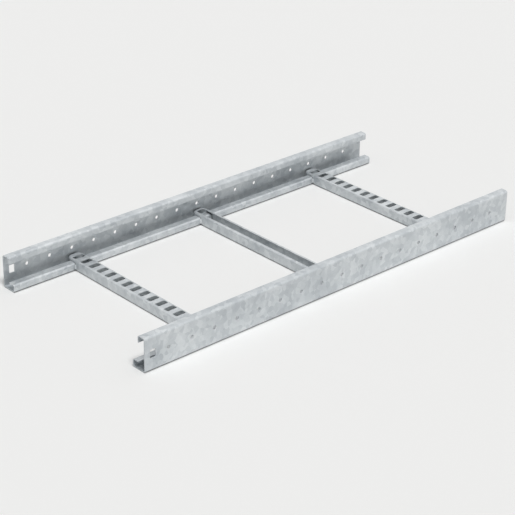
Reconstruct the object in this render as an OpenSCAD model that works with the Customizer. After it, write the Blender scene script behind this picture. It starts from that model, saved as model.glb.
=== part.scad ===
// Cable ladder section: two roll-formed side rails and three pressed rungs.
// X runs along the rails, Y across the ladder, Z up from the underside of the rails.

/* [Ladder] */
// Length of the side rails
length = 900; // [750:50:1200]
// Clear width between the webs of the two rails
clear_width = 400; // [300:10:600]
// Distance from one rung's centre to the next
rung_spacing = 300; // [200:10:320]

/* [Side rail] */
// Height of a rail
rail_height = 65; // [60:1:90]
// Sheet thickness of a rail
rail_sheet = 2; // [1.5:0.1:2.5]
// Inner radius of the bends in a rail
rail_bend = 2.5; // [1.5:0.1:3]
// Width of the top flange
top_flange = 18; // [14:0.5:24]
// Height of the lip that hangs from the top flange
top_lip = 13.5; // [9:0.5:18]
// Width of the bottom flange
bottom_flange = 32; // [30:0.5:40]
// Height of the bottom lip, which carries the rungs
bottom_lip = 16; // [13:0.5:22]
// Width of the return flange on top of the bottom lip
return_flange = 15; // [11:0.5:17]

/* [Rail holes] */
// Diameter of the bolt holes in the webs
hole_bore = 7; // [5:0.5:11]
// Distance from one bolt hole to the next
hole_pitch = 50; // [25:5:60]
// Least distance from a rail's end to a bolt hole's centre
hole_margin = 50; // [40:1:60]

/* [End slot] */
// Length of the joint slot near one end of a web
end_slot_length = 12; // [8:0.5:16]
// Height of the joint slot
end_slot_height = 16; // [10:0.5:24]
// Distance from the rail's end to the joint slot's centre
end_slot_inset = 17; // [14:0.5:22]
// Corner radius of the joint slot
end_slot_corner = 1.5; // [0.5:0.25:3]

/* [Rung] */
// Width of a rung
rung_width = 30; // [28:1:40]
// Sheet thickness of a rung
rung_sheet = 1.5; // [1:0.1:2]
// Inner radius of the bends in a rung
rung_bend = 1.5; // [1:0.1:2]
// Width of the two lips beside a rung's open side
rung_lip = 6; // [5:0.25:8]
// Depth of the tongues that lie on the rails' return flanges
tongue_depth = 5; // [4:0.25:8]
// Free space between a rung's nose and the web
nose_gap = 2; // [0.5:0.5:8]
// Corner radius of a nose, seen from above
nose_corner = 11; // [9:0.5:13]

/* [Rung slots] */
// Length of a clamp slot, across the rung
slot_length = 22; // [14:0.5:23]
// Width of a clamp slot, along the rung
slot_width = 12; // [6:0.5:16]
// Distance from one clamp slot to the next
slot_pitch = 24; // [20:1:40]
// Least distance from a nose's end to a clamp slot's centre
slot_margin = 18; // [14:0.5:40]
// Corner radius of a clamp slot
slot_corner = 3; // [1:0.25:3]

/* [Hidden] */
$fn = 64;
// How far a cut runs past the sheet on each side
overrun = 1;
// Slack on a count of copies, so that rounding never drops the last one
rounding = 0.001;
// Distances from the ladder's centre line
web_outside = clear_width / 2 + rail_sheet;
lip_face = web_outside - bottom_flange;
nose_end = clear_width / 2 - nose_gap;
nose_start = nose_end - nose_corner;
// Heights above the rails' underside
seat_level = bottom_lip;
rung_height = seat_level + tongue_depth;
hole_level = rail_height / 2;
// Runs of holes and slots, centred on the rail and on the rung
hole_count = floor((length - 2 * hole_margin) / hole_pitch + rounding) + 1;
slot_count = floor(2 * (nose_end - slot_margin) / slot_pitch + rounding) + 1;
steel = [0.80, 0.82, 0.83];

// Positions of a centred run of copies
function centred_run(count, pitch) = [for (i = [0 : count - 1]) (i - (count - 1) / 2) * pitch];

// A quarter of the ring that a bend makes, outside the corner of a sheet that turns left
module bend_ring(inside, outside) {
    intersection() {
        difference() {
            circle(r = outside);
            circle(r = inside);
        }
        translate([0, -outside]) square([outside, outside]);
    }
}

// A folded sheet's section: each leg has its outer length, and each bend turns left by 90 degrees
module folded_section(legs, sheet, inside, first = 0) {
    outside = inside + sheet;
    last = len(legs) - 1;
    straight = legs[first] - (first > 0 ? outside : 0) - (first < last ? outside : 0);
    square([straight, sheet]);
    if (first < last) {
        translate([straight, outside]) {
            bend_ring(inside, outside);
            translate([outside, 0]) rotate(90) folded_section(legs, sheet, inside, first + 1);
        }
    }
}

// A rectangle with rounded corners, centred
module rounded_rectangle(size, corner) {
    across = [size[0] - 2 * corner, size[1] - 2 * corner];
    square([size[0], across[1]], center = true);
    square([across[0], size[1]], center = true);
    for (x = [-1, 1], y = [-1, 1]) {
        translate([x * across[0] / 2, y * across[1] / 2]) circle(r = corner);
    }
}

// The rail's section, with the web's outer face on the line x = 0 and the underside on y = 0
module rail_section() {
    legs = [top_lip, top_flange, rail_height, bottom_flange, bottom_lip, return_flange];
    translate([top_flange, rail_height - top_lip])
        rotate(90) folded_section(legs, rail_sheet, rail_bend);
}

// Cuts through the web: the run of bolt holes and the joint slot
module web_cuts() {
    depth = rail_sheet + 2 * overrun;
    translate([0, -overrun, hole_level]) rotate([-90, 0, 0]) {
        for (x = centred_run(hole_count, hole_pitch)) {
            translate([x, 0, 0]) cylinder(d = hole_bore, h = depth);
        }
        translate([end_slot_inset - length / 2, 0, 0]) linear_extrude(height = depth)
            rounded_rectangle([end_slot_length, end_slot_height], end_slot_corner);
    }
}

// A rail with its web's outer face on the plane y = 0 and its flanges towards +Y
module rail() {
    color(steel) difference() {
        rotate([90, 0, 90]) linear_extrude(height = length, center = true) rail_section();
        web_cuts();
    }
}

module side_rail_front() {
    translate([0, -web_outside, 0]) rail();
}

module side_rail_back() {
    mirror([0, 1, 0]) side_rail_front();
}

// The edge of a tongue: the flange on top, the bend and the low wall,
// with the wall's outer face at x = reach and the seat on y = 0
module tongue_edge(reach, flange) {
    translate([reach - flange, tongue_depth])
        mirror([0, 1]) folded_section([flange, tongue_depth], rung_sheet, rung_bend);
}

// The rounded end of a tongue: two turned corners with a straight stretch between them
module nose(flange) {
    end_width = rung_width - 2 * nose_corner;
    end_flange = min(flange, nose_corner);
    translate([0, nose_start, seat_level]) {
        for (side = [0, 1]) mirror([side, 0, 0]) translate([end_width / 2, 0, 0])
            rotate_extrude(angle = 90) tongue_edge(nose_corner, end_flange);
        rotate([90, 0, 90]) linear_extrude(height = end_width, center = true)
            tongue_edge(nose_corner, end_flange);
    }
}

// The rung's C-shaped section, open upwards
module channel_section() {
    legs = [rung_lip, rung_height, rung_width, rung_height, rung_lip];
    translate([rung_lip - rung_width / 2, rung_height])
        rotate(180) folded_section(legs, rung_sheet, rung_bend);
}

// The run of clamp slots through the channel's floor
module slot_cuts() {
    for (y = centred_run(slot_count, slot_pitch)) {
        translate([0, y, -overrun]) linear_extrude(height = rung_sheet + 2 * overrun)
            rounded_rectangle([slot_length, slot_width], slot_corner);
    }
}

// The straight channel between the two noses, open upwards
module channel() {
    rotate([90, 0, 0]) linear_extrude(height = 2 * nose_start, center = true) channel_section();
}

// The notches that leave only the tongues above the rails' bottom lips
module notch_cuts() {
    width = rung_width + 2 * overrun;
    for (end = [0, 1]) mirror([0, end, 0])
        translate([-width / 2, lip_face, -overrun])
            cube([width, nose_end - lip_face, seat_level + overrun]);
}

module both_noses(flange) {
    for (end = [0, 1]) mirror([0, end, 0]) nose(flange);
}

// Turns what lies in a rung's channel over, about the middle of its height
module turned_over() {
    translate([0, 0, rung_height]) mirror([0, 0, 1]) children();
}

// A rung with its slotted face up and its noses closed on top
module rung_slotted() {
    color(steel) difference() {
        union() {
            difference() {
                turned_over() channel();
                notch_cuts();
            }
            both_noses(rung_width / 2);
        }
        turned_over() slot_cuts();
    }
}

// A rung with its open side up: its lips run on round the noses
module rung_open() {
    color(steel) difference() {
        union() {
            difference() {
                channel();
                notch_cuts();
            }
            both_noses(rung_lip);
        }
        slot_cuts();
    }
}

module rung_1_slotted() {
    translate([-rung_spacing, 0, 0]) rung_slotted();
}

module rung_2_open() {
    rung_open();
}

module rung_3_slotted() {
    translate([rung_spacing, 0, 0]) rung_slotted();
}

side_rail_front();
side_rail_back();
rung_1_slotted();
rung_2_open();
rung_3_slotted();
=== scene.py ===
"""A galvanised cable ladder section on a plain pale floor.

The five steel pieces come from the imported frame; this script gives them their zinc finish and
adds the weld beads that hold the rungs. Lengths are written in millimetres and turned to metres.
"""

import math

import bmesh
import bpy
from mathutils import Matrix, Vector


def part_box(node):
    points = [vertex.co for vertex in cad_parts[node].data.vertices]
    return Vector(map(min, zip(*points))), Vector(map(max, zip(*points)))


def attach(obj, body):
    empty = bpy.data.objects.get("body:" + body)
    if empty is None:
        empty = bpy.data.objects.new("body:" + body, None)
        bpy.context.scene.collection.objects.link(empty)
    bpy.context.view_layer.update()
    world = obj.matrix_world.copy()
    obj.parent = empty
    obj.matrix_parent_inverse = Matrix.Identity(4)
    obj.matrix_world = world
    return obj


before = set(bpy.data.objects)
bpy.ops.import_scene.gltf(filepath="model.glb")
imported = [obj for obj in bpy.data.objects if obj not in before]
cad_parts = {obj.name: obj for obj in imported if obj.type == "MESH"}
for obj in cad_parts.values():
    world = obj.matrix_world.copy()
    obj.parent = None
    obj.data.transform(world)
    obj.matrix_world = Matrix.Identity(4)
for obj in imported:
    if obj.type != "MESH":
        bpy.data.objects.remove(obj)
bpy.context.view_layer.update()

MM = 0.001
FRONT_RAIL = "side_rail_front"
BACK_RAIL = "side_rail_back"
RAILS = (FRONT_RAIL, BACK_RAIL)
RUNGS = ("rung_1_slotted", "rung_2_open", "rung_3_slotted")

# ---------------------------------------------------------------- camera

CAMERA_AZIMUTH = -42.4
CAMERA_ELEVATION = 26.5
CAMERA_ROLL = 0.8
CAMERA_DISTANCE = 3114 * MM
CAMERA_LENS = 116
SENSOR = 36
CAMERA_REACH = 50000 * MM
# The point on the camera's axis, to the right of and above the frame's origin as the camera sees it
AIM_RIGHT = -15.4 * MM
AIM_UP = -9.2 * MM


def camera_axes():
    """The camera's right, up and backward directions in the row frame."""
    azimuth, elevation, roll = (
        math.radians(a) for a in (CAMERA_AZIMUTH, CAMERA_ELEVATION, CAMERA_ROLL)
    )
    back = Vector((
        math.sin(azimuth) * math.cos(elevation),
        -math.cos(azimuth) * math.cos(elevation),
        math.sin(elevation),
    ))
    level = Vector((math.cos(azimuth), math.sin(azimuth), 0))
    upright = back.cross(level)
    right = math.cos(roll) * level + math.sin(roll) * upright
    up = math.cos(roll) * upright - math.sin(roll) * level
    return right, up, back


def make_camera():
    """A long lens that looks down on the ladder from the front left."""
    right, up, back = camera_axes()
    data = bpy.data.cameras.new("camera")
    data.sensor_width = SENSOR
    data.lens = CAMERA_LENS
    data.clip_end = CAMERA_REACH
    camera = bpy.data.objects.new("camera", data)
    bpy.context.scene.collection.objects.link(camera)
    place = AIM_RIGHT * right + AIM_UP * up + CAMERA_DISTANCE * back
    camera.matrix_world = Matrix.Translation(place) @ Matrix((right, up, back)).transposed().to_4x4()
    bpy.context.scene.camera = camera


# ---------------------------------------------------------------- node helpers


def linear(code):
    """An sRGB hex colour as linear RGBA."""
    channels = [int(code[i : i + 2], 16) / 255 for i in (0, 2, 4)]
    return [
        c / 12.92 if c <= 0.04045 else ((c + 0.055) / 1.055) ** 2.4 for c in channels
    ] + [1]


def add(tree, kind, inputs=(), **settings):
    """Adds a node; inputs maps a socket's name or number to a value or to the socket feeding it."""
    made = tree.nodes.new(kind)
    for name, value in settings.items():
        setattr(made, name, value)
    for name, value in dict(inputs).items():
        if isinstance(value, bpy.types.NodeSocket):
            tree.links.new(value, made.inputs[name])
        else:
            made.inputs[name].default_value = value
    return made


def new_material(name):
    """A material without nodes, and its node tree."""
    material = bpy.data.materials.new(name)
    material.use_nodes = True
    material.node_tree.nodes.clear()
    return material, material.node_tree


# ---------------------------------------------------------------- materials

# Zinc that was dipped hot over finished steel: pale, dull, with frost-like crystals in patches
ZINC_PALE = "D6DADC"
ZINC_MID = "C3C8CB"
ZINC_DEEP = "A9AFB4"
# The dark grey of the painted shade in the inner corners, which also stands for grime
CORNER_SHADE_AND_GRIME = "4E5256"
FLOOR_WHITE = "F4F4F3"
ZINC_METALLIC = 0.5
# Widths of what shows in the coating; the barbs and rolling lines are drawn wide enough to show
CRYSTAL = 9 * MM
BARB = 0.7 * MM
CLOUD = 90 * MM
ROLLING_LINE = 1.6 * MM
# How many times longer than wide the barbs and rolling lines are, and the barbs' turning axis
BARB_STRETCH = 8
LINE_STRETCH = 60
BARB_AXIS = (0.5, 0.6, 0.62)
# How much each crystal and its barbs shift the tone that the clouds set, and where the tones lie
CRYSTAL_TONE = 0.30
BARB_TONE = 0.25
DEEP_AT = 0.40
MID_AT = 0.72
PALE_AT = 1.0
# How much each crystal and the skin add to the dullness
CRYSTAL_DULLNESS = 0.12
SKIN_DULLNESS = 0.12
# How far the painted corner shade, which also stands for grime, reaches out of a corner, and the
# openness between full shade and none
SHADE_AND_GRIME_REACH = 7 * MM
SHADE_AND_GRIME_FULL = 0.25
SHADE_AND_GRIME_NONE = 0.75
# Round that the coating leaves on a cut edge, and the strength and depth of its relief
EDGE_ROUND = 0.35 * MM
CRYSTAL_RELIEF = (0.12, 0.25 * MM)
SKIN_RELIEF = (0.25, 0.12 * MM)
LINE_RELIEF = (0.10, 0.08 * MM)


def zinc_material(name, run, grain, dullness):
    """Hot-dip zinc on sheet steel, whose rolling lines run along the direction run.

    The coating gives crystals, each with its own tone, sheen and feathered barbs, wide clouds of
    duller patina, a fine grainy skin and faint rolling lines; the inner corners get painted shade,
    which also stands for grime.
    """
    material, tree = new_material(name)
    place = add(tree, "ShaderNodeTexCoord").outputs["Object"]
    wobble = add(
        tree, "ShaderNodeTexNoise", {"Vector": place, "Scale": 1 / CRYSTAL, "Detail": 2}
    ).outputs["Color"]
    bent = add(
        tree,
        "ShaderNodeVectorMath",
        {0: wobble, 1: (CRYSTAL / 2,) * 3, 2: place},
        operation="MULTIPLY_ADD",
    ).outputs[0]
    spangle = add(tree, "ShaderNodeTexVoronoi", {"Vector": bent, "Scale": 1 / CRYSTAL})
    tone = add(tree, "ShaderNodeSeparateColor", {"Color": spangle.outputs["Color"]})
    twist = add(
        tree, "ShaderNodeMath", {0: tone.outputs["Blue"], 1: 2 * math.pi}, operation="MULTIPLY"
    ).outputs[0]
    clouds = add(
        tree,
        "ShaderNodeTexNoise",
        {"Vector": place, "Scale": 1 / CLOUD, "Detail": 4, "Roughness": 0.6},
    ).outputs["Fac"]
    skin = add(
        tree,
        "ShaderNodeTexNoise",
        {"Vector": place, "Scale": 1 / grain, "Detail": 3, "Roughness": 0.65},
    ).outputs["Fac"]
    turned = add(
        tree,
        "ShaderNodeVectorRotate",
        {"Vector": place, "Axis": BARB_AXIS, "Angle": twist},
        rotation_type="AXIS_ANGLE",
    ).outputs[0]
    comb = (1, 1 / BARB_STRETCH, 1 / BARB_STRETCH)
    combed = add(
        tree, "ShaderNodeMapping", {"Vector": turned, "Scale": comb}, vector_type="POINT"
    ).outputs[0]
    feather = add(
        tree,
        "ShaderNodeTexNoise",
        {"Vector": combed, "Scale": 1 / BARB, "Detail": 2, "Roughness": 0.6},
    ).outputs["Fac"]
    squeeze = tuple(1 / LINE_STRETCH if along else 1 for along in run)
    drawn = add(
        tree, "ShaderNodeMapping", {"Vector": place, "Scale": squeeze}, vector_type="POINT"
    ).outputs[0]
    lines = add(
        tree,
        "ShaderNodeTexNoise",
        {"Vector": drawn, "Scale": 1 / ROLLING_LINE, "Detail": 2, "Roughness": 0.5},
    ).outputs["Fac"]
    # Tone of the zinc: clouds set the base, each crystal and its barbs shift it a little
    share = add(
        tree,
        "ShaderNodeMath",
        {0: tone.outputs["Red"], 1: CRYSTAL_TONE, 2: clouds},
        operation="MULTIPLY_ADD",
    ).outputs[0]
    share = add(
        tree, "ShaderNodeMath", {0: feather, 1: BARB_TONE, 2: share}, operation="MULTIPLY_ADD"
    ).outputs[0]
    zinc = add(tree, "ShaderNodeValToRGB", {"Fac": share})
    ramp = zinc.color_ramp
    ramp.elements[0].position = DEEP_AT
    ramp.elements[0].color = linear(ZINC_DEEP)
    ramp.elements[1].position = PALE_AT
    ramp.elements[1].color = linear(ZINC_PALE)
    middle = ramp.elements.new(MID_AT)
    middle.color = linear(ZINC_MID)
    # Painted shade, which also stands for grime: the zinc turns to the dark grey where an inner
    # corner has little open air
    open_air = add(
        tree, "ShaderNodeAmbientOcclusion", {"Distance": SHADE_AND_GRIME_REACH}, samples=8, only_local=False
    ).outputs["AO"]
    corner_shade_and_grime = add(
        tree,
        "ShaderNodeMapRange",
        {"Value": open_air, "From Min": SHADE_AND_GRIME_FULL, "From Max": SHADE_AND_GRIME_NONE},
    ).outputs[0]
    colour = add(
        tree,
        "ShaderNodeMix",
        {"Factor": corner_shade_and_grime, 6: linear(CORNER_SHADE_AND_GRIME), 7: zinc.outputs["Color"]},
        data_type="RGBA",
    ).outputs[2]
    rough_base = add(
        tree,
        "ShaderNodeMath",
        {0: tone.outputs["Green"], 1: CRYSTAL_DULLNESS, 2: dullness},
        operation="MULTIPLY_ADD",
    ).outputs[0]
    rough = add(
        tree,
        "ShaderNodeMath",
        {0: skin, 1: SKIN_DULLNESS, 2: rough_base},
        operation="MULTIPLY_ADD",
    ).outputs[0]
    # Relief: the cut edges' small round, then crystals, skin and rolling lines, one on the other
    relief = add(tree, "ShaderNodeBevel", {"Radius": EDGE_ROUND}, samples=4).outputs[0]
    for height, (strength, depth) in (
        (tone.outputs["Blue"], CRYSTAL_RELIEF),
        (skin, SKIN_RELIEF),
        (lines, LINE_RELIEF),
    ):
        relief = add(
            tree,
            "ShaderNodeBump",
            {"Strength": strength, "Distance": depth, "Height": height, "Normal": relief},
        ).outputs[0]
    shader = add(
        tree,
        "ShaderNodeBsdfPrincipled",
        {"Base Color": colour, "Roughness": rough, "Normal": relief, "Metallic": ZINC_METALLIC},
    )
    add(tree, "ShaderNodeOutputMaterial", {"Surface": shader.outputs[0]})
    return material


def floor_material():
    """A matt white studio floor, almost without sheen."""
    material, tree = new_material("matt_white_floor")
    shader = add(
        tree,
        "ShaderNodeBsdfPrincipled",
        {"Base Color": linear(FLOOR_WHITE), "Roughness": 0.9, "Specular IOR Level": 0.2},
    )
    add(tree, "ShaderNodeOutputMaterial", {"Surface": shader.outputs[0]})
    return material


def put_material(thing, material):
    thing.data.materials.clear()
    thing.data.materials.append(material)


# ---------------------------------------------------------------- stage and light

FLOOR_SIZE = 40000 * MM
WORLD_LIGHT = 0.40
BACKDROP_WHITE = 1.0
SUN_LIGHT = 1.9
SUN_SPREAD = 18
# The direction that the light comes from: high, in front and a little to the left
SUN_FROM = (-0.14, -0.44, 0.88)


def make_floor():
    shape = bmesh.new()
    bmesh.ops.create_grid(shape, x_segments=2, y_segments=2, size=FLOOR_SIZE / 2)
    mesh = bpy.data.meshes.new("floor")
    shape.to_mesh(mesh)
    shape.free()
    floor = bpy.data.objects.new("floor", mesh)
    bpy.context.scene.collection.objects.link(floor)
    put_material(floor, floor_material())


def make_world():
    """Even pale light from all round; what the camera and the zinc see of it is white."""
    world = bpy.data.worlds.new("studio")
    world.use_nodes = True
    tree = world.node_tree
    tree.nodes.clear()
    path = add(tree, "ShaderNodeLightPath")
    seen = add(
        tree,
        "ShaderNodeMath",
        {0: path.outputs["Is Camera Ray"], 1: path.outputs["Is Glossy Ray"]},
        operation="MAXIMUM",
    ).outputs[0]
    seen = add(
        tree,
        "ShaderNodeMath",
        {0: seen, 1: path.outputs["Is Transmission Ray"]},
        operation="MAXIMUM",
    ).outputs[0]
    strength = add(
        tree,
        "ShaderNodeMapRange",
        {"Value": seen, "To Min": WORLD_LIGHT, "To Max": BACKDROP_WHITE},
    ).outputs[0]
    light = add(tree, "ShaderNodeBackground", {"Color": linear("FFFFFF"), "Strength": strength})
    add(tree, "ShaderNodeOutputWorld", {"Surface": light.outputs[0]})
    bpy.context.scene.world = world


def make_sun():
    """One broad soft light from high in front, so each lip shades the web under it."""
    data = bpy.data.lights.new("studio_light", "SUN")
    data.energy = SUN_LIGHT
    data.angle = math.radians(SUN_SPREAD)
    lamp = bpy.data.objects.new("studio_light", data)
    bpy.context.scene.collection.objects.link(lamp)
    lamp.rotation_euler = Vector(SUN_FROM).to_track_quat("Z", "Y").to_euler()


# ---------------------------------------------------------------- weld beads

# A short fillet stands in each corner between a rung's wall and a rail's bottom lip
RAIL_LIP_DEPTH = 32 * MM
BEAD_WIDTH = 7.6 * MM
BEAD_THICKNESS = 3.2 * MM
BEAD_LENGTH = 10 * MM
# The height of a bead's middle, how far it stands out of the corner and reaches into the sheets
BEAD_LEVEL = 8 * MM
BEAD_PROUD = 0.5 * MM
BEAD_BITE = 0.4 * MM
# Facets round and along a bead, and how near two points are taken as one
BEAD_SIDES = 24
BEAD_RINGS = 60
SAME_POINT = 0.001 * MM
# How blunt the ends are, and the ripples that the weld pool left, as shares of the bead's size
BEAD_FULLNESS = 0.15
BEAD_RIPPLES = 6
RIPPLE_DEPTH = 0.035
RIPPLE_SWEEP = 0.5


def bead_mesh():
    """A fillet in the corner of the planes x = 0 and y = 0, half above and half below z = 0.

    It is an oval drop with swept ripples, pressed flat a little inside both sheets.
    """
    shape = bmesh.new()
    drop = bmesh.ops.create_uvsphere(
        shape, u_segments=BEAD_SIDES, v_segments=BEAD_RINGS, radius=1
    )["verts"]
    for vertex in drop:
        reach = vertex.co.xy.length
        if reach > 0:
            swept = vertex.co.z + RIPPLE_SWEEP * vertex.co.x**2
            ripple = 1 + RIPPLE_DEPTH * math.cos(math.pi * BEAD_RIPPLES * swept)
            vertex.co.xy *= ripple / reach**BEAD_FULLNESS
    size = Vector((BEAD_WIDTH, BEAD_THICKNESS, BEAD_LENGTH)) / 2
    outward = Vector((1, 1, 0)).normalized()
    bmesh.ops.scale(shape, vec=size, verts=drop)
    bmesh.ops.rotate(
        shape, cent=(0, 0, 0), matrix=Matrix.Rotation(math.radians(-45), 3, "Z"), verts=drop
    )
    bmesh.ops.translate(shape, vec=BEAD_PROUD * outward, verts=drop)
    for vertex in drop:
        vertex.co.x = max(vertex.co.x, -BEAD_BITE)
        vertex.co.y = max(vertex.co.y, -BEAD_BITE)
    bmesh.ops.remove_doubles(shape, verts=drop, dist=SAME_POINT)
    mesh = bpy.data.meshes.new("bead")
    shape.to_mesh(mesh)
    shape.free()
    return mesh


def make_beads(rung, bead, material):
    """The four fillets that hold one rung, each a quarter turn on from the one before."""
    low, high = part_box(rung)
    inner = -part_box(FRONT_RAIL)[0].y - RAIL_LIP_DEPTH
    corners = ((high.x, -inner), (low.x, -inner), (low.x, inner), (high.x, inner))
    shape = bmesh.new()
    for quarter, (x, y) in enumerate(corners):
        laid = len(shape.verts)
        shape.from_mesh(bead)
        shape.verts.ensure_lookup_table()
        fresh = shape.verts[laid:]
        turn = Matrix.Rotation(quarter * math.pi / 2, 3, "Z")
        bmesh.ops.rotate(shape, cent=(0, 0, 0), matrix=turn, verts=fresh)
        bmesh.ops.translate(shape, vec=(x, y, BEAD_LEVEL), verts=fresh)
    for face in shape.faces:
        face.smooth = True
    name = rung.replace("rung", "weld_beads_rung")
    mesh = bpy.data.meshes.new(name)
    shape.to_mesh(mesh)
    shape.free()
    beads = bpy.data.objects.new(name, mesh)
    bpy.context.scene.collection.objects.link(beads)
    put_material(beads, material)
    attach(beads, "root")


# ---------------------------------------------------------------- the ladder

make_camera()
make_floor()
make_world()
make_sun()

rail_zinc = zinc_material("hot_dip_zinc_on_rail", run=(1, 0, 0), grain=1.4 * MM, dullness=0.30)
rung_zinc = zinc_material("hot_dip_zinc_on_rung", run=(0, 1, 0), grain=1.1 * MM, dullness=0.33)
for rail in RAILS:
    put_material(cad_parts[rail], rail_zinc)
weld_zinc = zinc_material("hot_dip_zinc_on_weld", run=(0, 0, 1), grain=0.9 * MM, dullness=0.40)
bead = bead_mesh()
for rung in RUNGS:
    put_material(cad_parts[rung], rung_zinc)
    make_beads(rung, bead, weld_zinc)

bpy.context.scene.view_settings.view_transform = "Standard"
